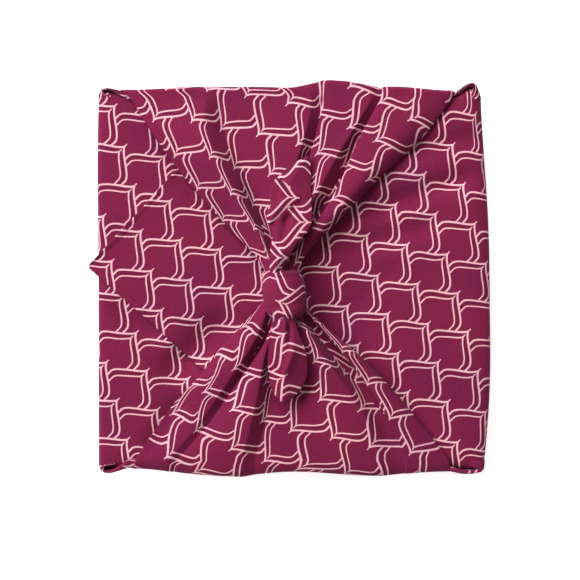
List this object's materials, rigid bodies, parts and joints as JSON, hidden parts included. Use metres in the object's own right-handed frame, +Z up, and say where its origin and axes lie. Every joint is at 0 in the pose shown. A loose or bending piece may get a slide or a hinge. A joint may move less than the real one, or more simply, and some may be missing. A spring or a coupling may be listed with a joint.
{
  "type": "furoshiki wrap",
  "caption": "Square cotton wrapping cloth folded corner-wise round a flat square parcel and tied on top in a knot with two free tails, hollow inside.",
  "frame": {"origin": "middle of the flat underside of the wrapped parcel", "axes": "+Z up through the knot, +Y towards the side that the upper tail points to, +X towards the wall that the outer flat corner is folded over from"},
  "size_m": [0.284, 0.2814, 0.0959],
  "materials": {
    "printed_cotton": "matte printed cotton, burgundy with fine pale pink lines"
  },
  "bodies": {
    "root": {"furoshiki_cloth": "printed_cotton"}
  },
  "joints": []
}
